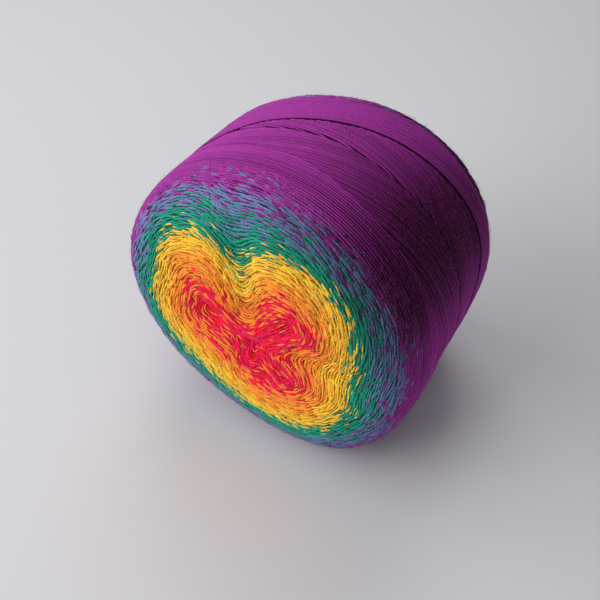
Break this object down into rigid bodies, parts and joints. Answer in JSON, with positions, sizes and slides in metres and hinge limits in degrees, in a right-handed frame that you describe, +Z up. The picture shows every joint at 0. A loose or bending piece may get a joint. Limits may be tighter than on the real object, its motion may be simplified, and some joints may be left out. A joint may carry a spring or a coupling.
{
  "type": "cake of gradient cotton yarn",
  "caption": "Short, fat roll of machine-wound gradient cotton yarn lying on its side, with a lobed face where its middle has closed up.",
  "frame": {"origin": "bottom centre of the bounding box, on the surface the roll rests on", "axes": "+Z up; the roll's axis lies along Y, with the lobed front face toward -Y and the plain back face toward +Y"},
  "size_m": [0.1162, 0.0922, 0.1082],
  "materials": {
    "cotton_yarn": "soft matt cotton threads laid side by side, purple round the side and running through blue, green, yellow and orange to crimson in the middle of each face"
  },
  "bodies": {
    "root": {"yarn_cake": "cotton_yarn"}
  },
  "joints": []
}
